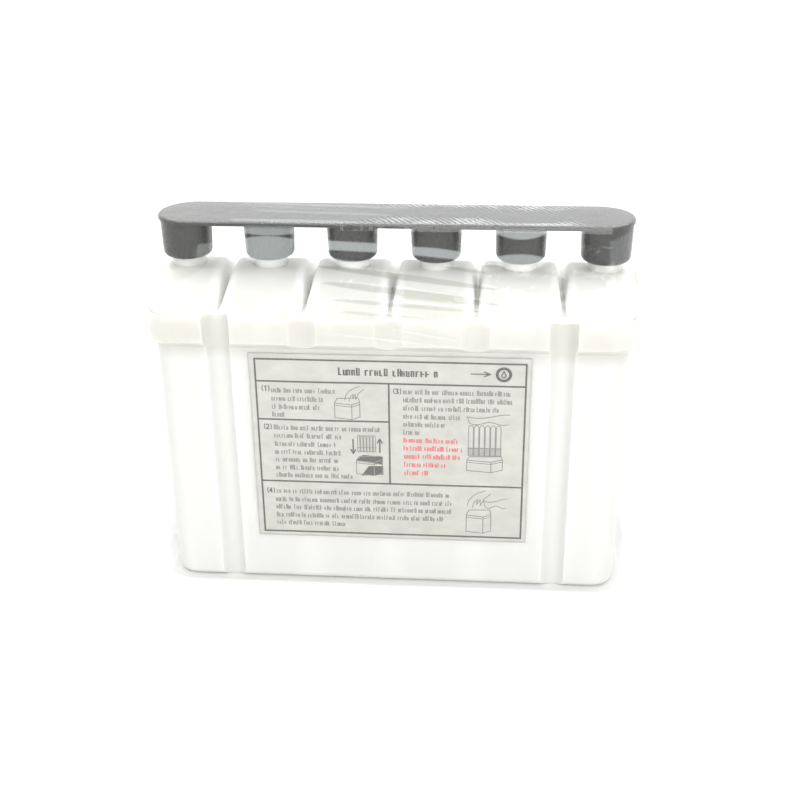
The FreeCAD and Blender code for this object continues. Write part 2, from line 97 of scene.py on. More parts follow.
class Board:
    """A material's node tree with short calls for adding and joining nodes."""

    def __init__(self, name: str) -> None:
        """Start an empty material.

        Args:
            name: the material's name.
        """
        self.material = bpy.data.materials.new(name)
        self.material.use_nodes = True
        self.tree = self.material.node_tree
        self.tree.nodes.clear()
        self.output = self.tree.nodes.new("ShaderNodeOutputMaterial")

    def add(self, kind: str, **values: object) -> bpy.types.Node:
        """Add one node and set its sockets and properties.

        Args:
            kind: the node type without its ShaderNode prefix.
            **values: socket values (spaces as underscores) or node properties.

        Returns:
            The new node.
        """
        node = self.tree.nodes.new(f"ShaderNode{kind}")
        for key, value in values.items():
            socket = node.inputs.get(key.replace("_", " "))
            if socket is not None:
                socket.default_value = value
            else:
                setattr(node, key, value)
        return node

    def join(self, source: bpy.types.NodeSocket, target: bpy.types.NodeSocket) -> None:
        """Link two sockets."""
        self.tree.links.new(source, target)

    def place(self, stretch: tuple[float, float, float] = (1.0, 1.0, 1.0)) -> bpy.types.NodeSocket:
        """Give the object coordinates, stretched along each axis.

        Args:
            stretch: factors along X, Y and Z.

        Returns:
            The mapped vector socket.
        """
        coordinates = self.add("TexCoord")
        mapping = self.add("Mapping", Scale=stretch)
        self.join(coordinates.outputs["Object"], mapping.inputs["Vector"])
        return mapping.outputs["Vector"]

    def noise(self, scale: float, detail: float = 3.0, rough: float = 0.5,
              stretch: tuple[float, float, float] = (1.0, 1.0, 1.0)) -> bpy.types.NodeSocket:
        """Add a noise pattern on object coordinates.

        Args:
            scale: features per metre.
            detail: octaves.
            rough: strength of the finer octaves.
            stretch: factors along X, Y and Z.

        Returns:
            The pattern's value socket.
        """
        node = self.add("TexNoise", Scale=scale, Detail=detail, Roughness=rough)
        self.join(self.place(stretch), node.inputs["Vector"])
        return node.outputs["Fac"]

    def ramp(self, source: bpy.types.NodeSocket, low: float, high: float,
             first: float, last: float) -> bpy.types.NodeSocket:
        """Map a value from one range to another, clamped.

        Args:
            source: the value socket.
            low: lower end of the source range.
            high: upper end of the source range.
            first: result at the lower end.
            last: result at the upper end.

        Returns:
            The mapped value socket.
        """
        node = self.add("MapRange", From_Min=low, From_Max=high, To_Min=first, To_Max=last)
        self.join(source, node.inputs["Value"])
        return node.outputs["Result"]

    def blend(self, factor: bpy.types.NodeSocket, first: tuple,
              last: tuple) -> bpy.types.NodeSocket:
        """Mix two colours by a value socket.

        Args:
            factor: 0 gives the first colour, 1 the last.
            first: first colour.
            last: last colour.

        Returns:
            The colour socket.
        """
        node = self.add("MixRGB", Color1=(*first, 1.0), Color2=(*last, 1.0))
        self.join(factor, node.inputs["Fac"])
        return node.outputs["Color"]

    def over(self, factor: bpy.types.NodeSocket, base: bpy.types.NodeSocket,
             colour: tuple) -> bpy.types.NodeSocket:
        """Lay a plain colour over a colour socket.

        Args:
            factor: 0 keeps the base, 1 gives the plain colour.
            base: the colour socket below.
            colour: the plain colour.

        Returns:
            The colour socket.
        """
        node = self.add("MixRGB", Color2=(*colour, 1.0))
        self.join(factor, node.inputs["Fac"])
        self.join(base, node.inputs["Color1"])
        return node.outputs["Color"]

    def mottle(self, shader: bpy.types.Node, pattern: bpy.types.NodeSocket, low: tuple,
               high: tuple, span: tuple[float, float] = (0.3, 0.7)) -> None:
        """Colour a shader between two tones by a pattern.

        Args:
            shader: the shader to colour.
            pattern: the pattern's value socket.
            low: tone at the lower end of the span.
            high: tone at the upper end of the span.
            span: the pattern's values that reach the two tones.
        """
        mix = self.blend(self.ramp(pattern, *span, 0.0, 1.0), low, high)
        self.join(mix, shader.inputs["Base Color"])

    def bump(self, height: bpy.types.NodeSocket, strength: float, depth: float,
             below: bpy.types.NodeSocket | None = None) -> bpy.types.NodeSocket:
        """Turn a height into a surface normal.

        Args:
            height: the height socket.
            strength: from 0 to 1.
            depth: height in metres of a full step.
            below: an earlier normal to build on.

        Returns:
            The normal socket.
        """
        node = self.add("Bump", Strength=strength, Distance=depth)
        self.join(height, node.inputs["Height"])
        if below is not None:
            self.join(below, node.inputs["Normal"])
        return node.outputs["Normal"]

    def calc(self, operation: str, *terms: bpy.types.NodeSocket | float) -> bpy.types.NodeSocket:
        """Add a math node.

        Args:
            operation: the node's operation.
            *terms: sockets or numbers, in the node's order.

        Returns:
            The result socket.
        """
        node = self.add("Math", operation=operation)
        for term, entry in zip(terms, node.inputs):
            if isinstance(term, (int, float)):
                entry.default_value = term
            else:
                self.join(term, entry)
        return node.outputs[0]

    def finish(self, shader: bpy.types.Node) -> bpy.types.Material:
        """Send a shader node to the output and give the material."""
        self.join(shader.outputs[0], self.output.inputs["Surface"])
        return self.material


# --- finishes -------------------------------------------------------------------------


@dataclass(frozen=True)
class NaturalPolyethylene:
    """Unpigmented blow-moulded plastic: milky, light passes into it, satin skin."""

    # The three tones are painted light and shade set by height: the roof is painted lighter,
    # against the shade under the strip, the wall is painted darker so it does not wash out, and
    # thick, the collar band's tone, is painted darker still as painted shade.
    roof: tuple = (0.80, 0.795, 0.757)
    wall: tuple = (0.71, 0.705, 0.68)
    thick: tuple = (0.575, 0.563, 0.520)
    cleft: tuple = (0.985, 0.98, 0.965)
    pitch: float = 24.0
    collar_low: float = 75.0
    collar_high: float = 86.0

    def make(self) -> bpy.types.Material:
        """Build the material.

        Returns:
            The finished material.
        """
        board = Board("natural_polyethylene")
        split = board.add("SeparateXYZ")
        board.join(board.place(), split.inputs["Vector"])
        height = split.outputs["Z"]
        # The collar band, mottled by clouds, takes the thick tone: painted shade.
        low = board.ramp(height, (self.collar_low - 3) * MM, self.collar_low * MM, 0.0, 1.0)
        high = board.ramp(height, self.collar_high * MM, (self.collar_high + 5) * MM, 1.0, 0.0)
        clouds = board.ramp(board.noise(70.0, 3.0, 0.55), 0.3, 0.75, 0.55, 1.0)
        tint = board.calc("MULTIPLY", board.calc("MULTIPLY", low, high), clouds)
        shader = board.add("BsdfPrincipled", IOR=1.5, Subsurface_Weight=0.8,
                           Subsurface_Scale=0.004)
        shader.inputs["Subsurface Radius"].default_value = (1.0, 1.0, 1.0)
        # From 80 to 84 mm up, the wall tone gives way to the lighter roof tone: painted light.
        plain = board.blend(board.ramp(height, 80.0 * MM, 84.0 * MM, 0.0, 1.0), self.wall,
                            self.roof)
        lit = board.over(self.clefts(board, split.outputs["X"], height),
                         board.over(tint, plain, self.thick), self.cleft)
        board.join(lit, shader.inputs["Base Color"])
        broad = board.bump(board.noise(55.0, 2.0, 0.4), 0.35, 0.0009)
        fine = board.bump(board.noise(900.0, 2.0, 0.6), 0.12, 0.00012, broad)
        board.join(fine, shader.inputs["Normal"])
        rough = board.ramp(board.noise(260.0, 2.0), 0.3, 0.7, 0.30, 0.44)
        board.join(rough, shader.inputs["Roughness"])
        return board.finish(shader)

    def clefts(self, board: Board, along: bpy.types.NodeSocket,
               height: bpy.types.NodeSocket) -> bpy.types.NodeSocket:
        """Say where two shoulders meet: painted paler, as if light passed through the walls.

        The distance from the nearest whole cell pitch along the row, faded out by 4.2 mm, times
        a step just over the collar.

        Args:
            board: the plastic's board.
            along: the place along the row.
            height: the height.

        Returns:
            Weights from 0 to 1.
        """
        cells = board.calc("DIVIDE", along, self.pitch * MM)
        off = board.calc("ABSOLUTE", board.calc("SUBTRACT", cells, board.calc("ROUND", cells)))
        near = board.ramp(off, 1.4 / self.pitch, 4.2 / self.pitch, 1.0, 0.0)
        over = board.ramp(height, (self.collar_high - 1) * MM, (self.collar_high + 1) * MM,
                          0.0, 1.0)
        return board.calc("MULTIPLY", near, over)


@dataclass(frozen=True)
class DarkPolypropylene:
    """Grey-black injection moulding with a fine even grain."""

    low: tuple = (0.018, 0.0185, 0.0165)
    high: tuple = (0.030, 0.0305, 0.0275)

    def make(self) -> bpy.types.Material:
        """Build the material.

        Returns:
            The finished material.
        """
        board = Board("dark_polypropylene")
        shader = board.add("BsdfPrincipled", IOR=1.5)
        board.mottle(shader, board.noise(90.0, 4.0, 0.6, (1.0, 1.0, 0.35)), self.low, self.high)
        board.join(board.ramp(board.noise(420.0, 3.0), 0.3, 0.7, 0.22, 0.34),
                   shader.inputs["Roughness"])
        grain = board.bump(board.noise(2600.0, 2.0, 0.6), 0.025, 0.00005)
        board.join(grain, shader.inputs["Normal"])
        return board.finish(shader)


@dataclass(frozen=True)
class ClearShrinkFilm:
    """Thin clear film: almost nothing but gloss, with painted shade along its folds and painted
    sheen in pale patches and streaks.
    """

    tint: tuple = (0.985, 0.987, 0.982)
    # Colour of the painted shade along the folds; the next is the colour of the painted sheen.
    painted_shade: tuple = (0.74, 0.75, 0.715)
    painted_sheen: tuple = (0.80, 0.86, 0.86)
    pitch: float = 1.8

    def make(self) -> bpy.types.Material:
        """Build the material.

        Returns:
            The finished material.
        """
        board = Board("clear_shrink_film")
        # The first attribute weighs painted shade on the film, the second painted sheen.
        painted_shade = board.add("Attribute", attribute_name="painted_shade").outputs["Fac"]
        painted_sheen = board.add("Attribute", attribute_name="painted_sheen").outputs["Fac"]
        pucker = self.puckers(board)
        # Pucker troughs add painted shade and pucker crests add painted highlight.
        trough = board.calc("MULTIPLY", board.calc("MAXIMUM", board.calc("MULTIPLY", pucker, -1.0),
                                                   0.0), 0.9)
        crest = board.calc("MAXIMUM", pucker, 0.0)
        pale = board.calc("MINIMUM", board.calc("ADD", painted_sheen, crest), 1.3)
        gloss = board.add("BsdfGlossy", Roughness=0.06, Color=(0.95, 0.96, 0.96, 1.0))
        soft = board.bump(board.noise(180.0, 2.0, 0.5), 0.25, 0.0006)
        ripple = board.bump(pucker, 0.7, 0.00025, soft)
        board.join(ripple, gloss.inputs["Normal"])
        edge = board.add("LayerWeight", Blend=0.5)
        board.join(ripple, edge.inputs["Normal"])
        steep = board.calc("POWER", edge.outputs["Facing"], 3.5)
        # Painted shade from the folds and the troughs, with dimming at steep views, darkens the
        # through colour.
        folds = board.calc("ADD", painted_shade, trough)
        dim = board.calc("MINIMUM", board.calc("MULTIPLY_ADD", steep, 0.8, folds), 1.0)
        through = board.add("BsdfTransparent")
        board.join(board.blend(dim, self.tint, self.painted_shade), through.inputs["Color"])
        shine = board.calc("MINIMUM", board.calc("MULTIPLY_ADD", steep, 0.95, 0.047), 1.0)
        clear = board.add("MixShader")
        board.join(shine, clear.inputs[0])
        board.join(through.outputs[0], clear.inputs[1])
        board.join(gloss.outputs[0], clear.inputs[2])
        # A pale diffuse layer gives the painted sheen and the crests' painted highlight.
        sheen_layer = board.add("BsdfDiffuse", Color=(*self.painted_sheen, 1.0))
        shader = board.add("MixShader")
        board.join(board.ramp(pale, 0.0, 1.3, 0.0, 0.26), shader.inputs[0])
        board.join(clear.outputs[0], shader.inputs[1])
        board.join(sheen_layer.outputs[0], shader.inputs[2])
        return board.finish(shader)

    def puckers(self, board: Board) -> bpy.types.NodeSocket:
        """Make the fine slanting puckers where the film's "fine" attribute lets them through.

        A sine of about 1.8 mm runs along x + 0.7 y and is bent by a slow noise.

        Args:
            board: the film's board.

        Returns:
            Heights from -1 to 1.
        """
        split = board.add("SeparateXYZ")
        board.join(board.place(), split.inputs["Vector"])
        slant = board.calc("MULTIPLY_ADD", split.outputs["Y"], 0.7, split.outputs["X"])
        phase = board.calc("MULTIPLY", slant, 2 * math.pi / (self.pitch * MM))
        bent = board.calc("MULTIPLY_ADD", board.noise(120.0, 3.0), 7.0, phase)
        weight = board.add("Attribute", attribute_name="fine").outputs["Fac"]
        return board.calc("MULTIPLY", board.calc("SINE", bent), weight)


@dataclass(frozen=True)
class PrintedPaper:
    """Thin uncoated sheet with short fibres and a slight grey cast."""

    low: tuple = (0.445, 0.440, 0.405)
    high: tuple = (0.530, 0.525, 0.485)

    def make(self) -> bpy.types.Material:
        """Build the material.

        Returns:
            The finished material.
        """
        board = Board("printed_paper")
        shader = board.add("BsdfPrincipled", Roughness=0.82, IOR=1.45)
        board.mottle(shader, board.noise(130.0, 4.0, 0.6, (1.0, 1.0, 1.6)), self.low, self.high)
        fibre = board.noise(1500.0, 3.0, 0.65, (0.35, 1.0, 1.0))
        board.join(board.bump(fibre, 0.25, 0.00008), shader.inputs["Normal"])
        return board.finish(shader)


@dataclass(frozen=True)
class Ink:
    """Flat printing ink, a little uneven where the paper took less of it."""

    name: str
    full: tuple
    thin: tuple

    def make(self) -> bpy.types.Material:
        """Build the material.

        Returns:
            The finished material.
        """
        board = Board(self.name)
        shader = board.add("BsdfPrincipled", Roughness=0.7, IOR=1.45)
        board.mottle(shader, board.noise(1300.0, 3.0, 0.7), self.full, self.thin, (0.35, 0.7))
        return board.finish(shader)


@dataclass(frozen=True)
class SealFoil:
    """Heat-sealed foil disc with a fine crumple."""

    low: tuple = (0.70, 0.71, 0.72)
    high: tuple = (0.84, 0.84, 0.83)

    def make(self) -> bpy.types.Material:
        """Build the material.

        Returns:
            The finished material.
        """
        board = Board("seal_foil")
        shader = board.add("BsdfPrincipled", Metallic=1.0)
        crumple = board.noise(700.0, 4.0, 0.6)
        board.mottle(shader, crumple, self.low, self.high)
        board.join(board.ramp(crumple, 0.3, 0.7, 0.22, 0.42), shader.inputs["Roughness"])
        board.join(board.bump(crumple, 0.5, 0.0002), shader.inputs["Normal"])
        return board.finish(shader)


@dataclass(frozen=True)
class ClearAcid:
    """Water-clear liquid."""

    low: tuple = (0.90, 0.94, 0.94)
    high: tuple = (0.95, 0.97, 0.97)

    def make(self) -> bpy.types.Material:
        """Build the material.

        Returns:
            The finished material.
        """
        board = Board("clear_acid")
        shader = board.add("BsdfPrincipled", Roughness=0.05, IOR=1.37, Alpha=0.35)
        board.mottle(shader, board.noise(40.0, 2.0), self.low, self.high)
        return board.finish(shader)


@dataclass(frozen=True)
class ValveRubber:
    """Moulded black rubber, dull with a slight bloom."""

    low: tuple = (0.020, 0.020, 0.020)
    high: tuple = (0.042, 0.042, 0.040)

    def make(self) -> bpy.types.Material:
        """Build the material.

        Returns:
            The finished material.
        """
        board = Board("valve_rubber")
        shader = board.add("BsdfPrincipled", Roughness=0.65, IOR=1.5)
        bloom = board.noise(600.0, 4.0, 0.6)
        board.mottle(shader, bloom, self.low, self.high, (0.35, 0.7))
        board.join(board.bump(bloom, 0.2, 0.0001), shader.inputs["Normal"])
        return board.finish(shader)


# --- mesh helpers ---------------------------------------------------------------------


def grid_mesh(name: str, points: np.ndarray, closed_u: bool = False) -> bpy.types.Object:
    """Make a mesh object from a grid of points: rows run along v, columns along u.

    Args:
        name: the object's name.
        points: array of shape (rows, columns, 3) in metres.
        closed_u: joins the last column to the first.

    Returns:
        The new object, linked to the scene.
    """
    rows, columns, _ = points.shape
    index = np.arange(rows * columns).reshape(rows, columns)
    after = np.roll(index, -1, axis=1) if closed_u else index[:, 1:]
    here = index if closed_u else index[:, :-1]
    quads = np.stack([here[:-1], after[:-1], after[1:], here[1:]], axis=-1).reshape(-1, 4)
    return mesh_object(name, points.reshape(-1, 3), quads)


def mesh_object(name: str, points: np.ndarray, quads: np.ndarray) -> bpy.types.Object:
    """Make a mesh object from points and four-sided faces.

    Args:
        name: the object's name.
        points: array (n, 3) in metres.
        quads: array (m, 4) of point numbers.

    Returns:
        The new object, linked to the scene.
    """
    mesh = bpy.data.meshes.new(name)
    mesh.from_pydata(points.tolist(), [], quads.tolist())
    mesh.update()
    piece = bpy.data.objects.new(name, mesh)
    bpy.context.collection.objects.link(piece)
    return piece


def smooth(piece: bpy.types.Object) -> None:
    """Shade every face of a piece smoothly."""
    faces = np.ones(len(piece.data.polygons), dtype=bool)
    piece.data.polygons.foreach_set("use_smooth", faces)


def point_value(piece: bpy.types.Object, name: str, values: np.ndarray) -> None:
    """Store one number per point on a piece."""
    layer = piece.data.attributes.new(name, "FLOAT", "POINT")
    layer.data.foreach_set("value", values.ravel().astype(np.float32))


def dress(piece: bpy.types.Object, material: bpy.types.Material) -> None:
    """Give a piece one material on all its faces."""
    piece.data.materials.clear()
    piece.data.materials.append(material)


def settle(piece: bpy.types.Object, body: Body) -> bpy.types.Object:
    """Make a new piece ride on a body.

    Args:
        piece: the finished piece.
        body: the body it rides on.

    Returns:
        The same piece.
    """
    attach(piece, body.value)
    log.info("%s: %d faces", piece.name, len(piece.data.polygons))
    return piece


def swell(x: np.ndarray, y: np.ndarray, seed: int, length: float, count: int = 7) -> np.ndarray:
    """Sum sine waves of random direction and phase into an even, smooth unevenness.

    Each wave is sin(k . (x, y) + phase), with k of the given length spread by a third;
    the sum is divided by the root of the count.

    Args:
        x: first coordinate, metres.
        y: second coordinate, metres.
        seed: seed of the random draws.
        length: mean wavelength, metres.
        count: number of waves.

    Returns:
        Values of about unit size.
    """
    draw = np.random.default_rng(seed)
    angle = draw.uniform(0, 2 * math.pi, count)
    size = 2 * math.pi / (length * draw.uniform(0.7, 1.4, count))
    phase = draw.uniform(0, 2 * math.pi, count)
    waves = np.sin(np.multiply.outer(x, size * np.cos(angle))
                   + np.multiply.outer(y, size * np.sin(angle)) + phase)
    return waves.sum(axis=-1) / math.sqrt(count)


def step(values: np.ndarray, low: float, high: float) -> np.ndarray:
    """Rise smoothly from 0 at low to 1 at high."""
    t = np.clip((values - low) / (high - low), 0.0, 1.0)
    return t * t * (3 - 2 * t)


# --- bottle, acid and seals -----------------------------------------------------------


@dataclass
class AcidBottle:
    """The blow-moulded bottle with its acid and its foil seals."""

    frame: dict
    cells: int = 6

    def build(self) -> None:
        """Dress the bottle, the acid and the foil seals."""
        nodes = self.frame["nodes"]
        dress(nodes["acid_bottle"], NaturalPolyethylene().make())
        acid, foil = ClearAcid().make(), SealFoil().make()
        for cell in range(1, self.cells + 1):
            dress(nodes[f"electrolyte_{cell}"], acid)
            dress(nodes[f"foil_seal_{cell}"], foil)
        log.info("bottle, %d cells of acid and their seals dressed", self.cells)


@dataclass
class PlugStrip:
    """The strip of sealing plugs with the valves inside them."""

    frame: dict
    plugs: int = 6

    def build(self) -> None:
        """Dress the strip and its valves."""
        nodes = self.frame["nodes"]
        dress(nodes["plug_strip"], DarkPolypropylene().make())
        rubber = ValveRubber().make()
        for plug in range(1, self.plugs + 1):
            dress(nodes[f"relief_valve_{plug}"], rubber)
        log.info("strip of %d plugs dressed", self.plugs)


# --- printed sheet --------------------------------------------------------------------


class InkSheet:
    """Collects flat strips of ink as corner points on the sheet, in millimetres."""

    def __init__(self) -> None:
        """Start with no ink."""
        self.strips: list[np.ndarray] = []

    def bar(self, left: float, top: float, width: float, height: float) -> None:
        """Add an upright rectangle from its top left corner."""
        right, foot = left + width, top + height
        self.strips.append(np.array([(left, foot), (right, foot), (right, top), (left, top)]))

    def patch(self, corners: list[tuple[float, float]]) -> None:
        """Add a filled four-sided shape from its corners, anticlockwise as printed."""
        self.strips.append(np.array(corners, float))

    def line(self, path: list[tuple[float, float]], width: float) -> None:
        """Add a line of even width through points.

        Args:
            path: points as (across, down).
            width: the line's width.
        """
        points = np.array(path, float)
        for start, end in zip(points[:-1], points[1:]):
            along = end - start
            side = np.array([along[1], -along[0]]) / max(np.hypot(*along), 1e-9) * width / 2
            grow = along / max(np.hypot(*along), 1e-9) * width * 0.4
            corners = [start - side - grow, end - side + grow, end + side + grow,
                       start + side - grow]
            self.strips.append(np.array(corners))

    def ring(self, middle: tuple[float, float], radius: float, width: float,
             sides: int = 28) -> None:
        """Add a round outline.

        Args:
            middle: its middle.
            radius: its radius.
            width: the line's width.
            sides: number of straight pieces.
        """
        turn = np.linspace(0, 2 * math.pi, sides + 1)
        path = np.stack([middle[0] + radius * np.cos(turn), middle[1] + radius * np.sin(turn)], 1)
        self.line([tuple(p) for p in path], width)


@dataclass
class InstructionSheet:
    """The paper sheet under the film: ruled steps, rows of strokes and small drawings."""

    lift: float = 0.05
    wave: float = 0.16
    rows: int = 90
    columns: int = 120

    def build(self) -> None:
        """Build the paper and its three inks."""
        low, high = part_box("instruction_label")
        self.left, self.top = low[0] / MM, high[2] / MM
        self.width, self.height = (high[0] - low[0]) / MM, (high[2] - low[2]) / MM
        self.front = low[1] / MM
        self.paper()
        self.print_ink(Mark.DARK, self.dark_ink(), Ink("ink_dark", (0.075, 0.072, 0.066),
                                                       (0.13, 0.125, 0.115)))
        self.print_ink(Mark.MID, self.mid_ink(), Ink("ink_mid", (0.21, 0.205, 0.19),
                                                     (0.24, 0.235, 0.22)))
        self.print_ink(Mark.RED, self.red_ink(), Ink("ink_red", (0.62, 0.10, 0.12),
                                                     (0.66, 0.20, 0.21)))

    def place(self, across: np.ndarray, down: np.ndarray, lift: float) -> np.ndarray:
        """Put sheet points into the frame: x from the left edge, z down from the top edge.

        The sheet's face waves by a swell in both directions that dies away at its edges.

        Args:
            across: distance from the left edge, mm.
            down: distance from the top edge, mm.
            lift: distance in front of the paper, mm.

        Returns:
            Points in metres.
        """
        x = self.left + across
        z = self.top - down
        ripple = (swell(x * MM, z * MM, 11, 0.030) * 0.6
                  + swell(x * MM * 0.5, z * MM, 12, 0.011) * 0.4)
        y = self.front - self.wave * (0.5 + 0.5 * np.tanh(ripple)) - lift
        return np.stack([x, y, z], axis=-1) * MM

    def paper(self) -> None:
        """Make the sheet as a waved grid with a little thickness."""
        across, down = np.meshgrid(np.linspace(0, self.width, self.columns),
                                   np.linspace(self.height, 0, self.rows))
        piece = grid_mesh("paper_sheet", self.place(across, down, 0.0))
        smooth(piece)
        thick = piece.modifiers.new("thickness", "SOLIDIFY")
        thick.thickness, thick.offset = 0.08 * MM, -1.0
        dress(piece, PrintedPaper().make())
        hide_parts("instruction_label")
        settle(piece, Body.BOTTLE)

    def print_ink(self, mark: Mark, sheet: InkSheet, ink: Ink) -> None:
        """Make one colour of print.

        Each strip is a quad whose corners are put on the waved sheet; long strips are cut
        into pieces of at most 1.5 mm so that they follow the waves.

        Args:
            mark: which ink.
            sheet: the strips to print.
            ink: the finish.
        """
        cut = []
        for corners in sheet.strips:
            lengths = np.hypot(*(corners[1] - corners[0])), np.hypot(*(corners[3] - corners[0]))
            across, down = (max(1, math.ceil(size / 1.5)) for size in lengths)
            s = np.linspace(0, 1, across + 1)[None, :, None]
            t = np.linspace(0, 1, down + 1)[:, None, None]
            grid = ((1 - s) * (1 - t) * corners[0] + s * (1 - t) * corners[1]
                    + s * t * corners[2] + (1 - s) * t * corners[3])
            cells = np.stack([grid[:-1, :-1], grid[:-1, 1:], grid[1:, 1:], grid[1:, :-1]], axis=2)
            cut.append(cells.reshape(-1, 4, 2))
        flat = np.concatenate(cut).reshape(-1, 2)
        points = self.place(flat[:, 0], flat[:, 1], self.lift)
        quads = np.arange(len(points)).reshape(-1, 4)
        piece = mesh_object(f"print_{mark.value}", points, quads)
        dress(piece, ink.make())
        settle(piece, Body.BOTTLE)

    def dark_ink(self) -> InkSheet:
        """Draw the rules, the heading bars, the step numbers, the arrow and the drawings."""
        sheet = InkSheet()
        frame = [(1.8, 1.7), (77.8, 1.7), (77.8, 57.7), (1.8, 57.7), (1.8, 1.7)]
        sheet.line(frame, 0.52)
        sheet.line([(1.8, 8.5), (77.8, 8.5)], 0.5)
        sheet.line([(39.5, 8.5), (39.5, 40.6)], 0.5)
        sheet.line([(1.8, 20.5), (39.5, 20.5)], 0.5)
        sheet.line([(1.8, 40.6), (77.8, 40.6)], 0.5)
        letters(sheet, 25.3, 3.8, 28.3, 2.4, 31, 1.35, 0.5)
        sheet.line([(62.5, 4.9), (67.2, 4.9)], 0.3)
        sheet.line([(66.2, 4.2), (67.9, 4.9), (66.2, 5.6)], 0.35)
        sheet.ring((71.6, 4.9), 1.85, 0.8)
        droplet(sheet, (71.6, 4.9), 1.0)
        sheet.patch([(29.7, 33.2), (37.3, 34.3), (37.5, 31.7), (31.6, 31.3)])
        sheet.patch([(31.2, 38.1), (37.6, 37.6), (37.6, 34.8), (33.4, 34.9)])
        corners = (3.4, 9.9), (3.4, 22.0), (40.8, 9.9), (3.2, 43.0)
        for number, (left, top) in enumerate(corners, 1):
            step_number(sheet, number, left, top)
        for x in (29.0, 36.7):
            sheet.bar(x - 0.2, 26.2, 0.4, 4.3)
        sheet.line([(28.3, 29.6), (29.0, 30.9), (29.7, 29.6)], 0.35)
        sheet.line([(36.0, 27.3), (36.7, 26.0), (37.4, 27.3)], 0.35)
        return sheet

    def mid_ink(self) -> InkSheet:
        """Draw the grey rows of strokes and the four step drawings."""
        sheet = InkSheet()
        first = ((6.0, 10.4, 18.6), (6.0, 13.0, 14.8), (6.0, 15.6, 14.3), (6.0, 18.1, 4.0))
        second = ((6.2, 22.2, 30.7), (6.2, 24.8, 20.3), (6.2, 27.5, 18.3), (6.2, 30.1, 19.6),
                  (6.2, 32.6, 18.2), (6.2, 35.2, 19.7), (6.2, 37.7, 23.1))
        third = ((43.5, 10.0, 30.8), (43.5, 12.5, 30.8), (43.5, 15.1, 27.3), (43.5, 17.7, 16.2),
                 (43.5, 20.2, 12.0), (43.5, 22.8, 4.9))
        fourth = ((6.0, 43.1, 51.2), (5.6, 45.9, 52.3), (5.6, 48.5, 51.8), (5.6, 51.2, 49.8),
                  (5.6, 53.8, 20.5))
        for seed, (left, top, width) in enumerate(first + second + third + fourth):
            letters(sheet, left, top, width, 1.6, 40 + seed, 0.72, 0.27)
        battery_box(sheet, 24.0, 13.4, 7.2, 6.6)
        lifting_hand(sheet, 27.0, 9.6, 1.0)
        battery_box(sheet, 29.8, 31.8, 7.6, 6.2)
        cell_row(sheet, 30.2, 25.0, 5.4, 5.2)
        battery_box(sheet, 61.7, 30.9, 10.2, 5.0)
        cell_row(sheet, 62.0, 20.9, 9.4, 9.6)
        for row in range(6):
            sheet.line([(61.9, 28.3 + 0.36 * row), (71.5, 28.4 + 0.36 * row)], 0.16)
        resting_hand(sheet, 61.6, 18.2, 12.0)
        battery_box(sheet, 61.8, 48.6, 7.2, 7.8)
        lifting_hand(sheet, 62.0, 42.0, 1.25)
        resting_hand(sheet, 66.8, 45.4, 6.8)
        return sheet

    def red_ink(self) -> InkSheet:
        """Draw the red rows of strokes."""
        sheet = InkSheet()
        rows = ((43.5, 25.3, 16.2), (43.5, 27.9, 17.0), (43.6, 30.5, 16.4), (43.6, 33.2, 12.9),
                (43.7, 35.9, 7.6))
        for seed, (left, top, width) in enumerate(rows):
            letters(sheet, left, top, width, 1.6, 80 + seed, 0.74, 0.30)
        return sheet


def letters(sheet: InkSheet, left: float, top: float, width: float, height: float, seed: int,
            pace: float, weight: float) -> None:
    """Fill a line with strokes drawn at random, in word-long groups.

    Every mark is an upright with a short bar at one of three heights and, half the time, a
    second upright. Marks can look like letters, but they spell nothing.

    Args:
        sheet: where the marks go.
        left: start of the line.
        top: top of the line.
        width: length of the line.
        height: height of the marks.
        seed: seed of the random draws.
        pace: distance from one mark to the next.
        weight: width of a stroke.
    """
    draw = np.random.default_rng(seed)
    x, end = left, left + width
    while x < end - pace * 0.6:
        for _ in range(int(draw.integers(2, 9))):
            if x > end - pace * 0.6:
                break
            tall = draw.random() < 0.28
            head = top if tall else top + height * 0.26
            sheet.bar(x, head, weight, top + height - head)
            level = head + (top + height - head) * draw.choice((0.0, 0.42, 0.84))
            sheet.bar(x + weight, level, pace * 0.5 - weight * 0.3, weight * 0.7)
            if draw.random() < 0.5:
                sheet.bar(x + pace * 0.5, head + 0.1, weight * 0.8, top + height - head - 0.1)
            x += pace * (0.75 if draw.random() < 0.2 else 1.0)
        x += pace * 0.8


def droplet(sheet: InkSheet, middle: tuple[float, float], size: float) -> None:
    """Draw a plain drop of liquid.

    Args:
        sheet: where it goes.
        middle: its middle.
        size: height of its tip over the middle.
    """
    turn = np.linspace(-0.72 * math.pi, 0.72 * math.pi, 15) + math.pi / 2
    x = middle[0] + size * 0.6 * np.cos(turn)
    y = middle[1] + size * 0.3 + size * 0.6 * np.sin(turn)
    tip = (middle[0], middle[1] - size)
    sheet.line([tip] + list(zip(x, y)) + [tip], 0.35)


DIGITS = {
    1: ([(0.35, 0.2), (0.6, 0.0), (0.6, 1.0)],),
    2: ([(0.1, 0.15), (0.5, 0.0), (0.85, 0.2), (0.75, 0.5), (0.1, 1.0), (0.9, 1.0)],),
    3: ([(0.1, 0.1), (0.6, 0.0), (0.85, 0.25), (0.45, 0.48), (0.9, 0.75), (0.6, 1.0),
         (0.1, 0.9)],),
    4: ([(0.7, 1.0), (0.7, 0.0), (0.1, 0.7), (0.95, 0.7)],),
}


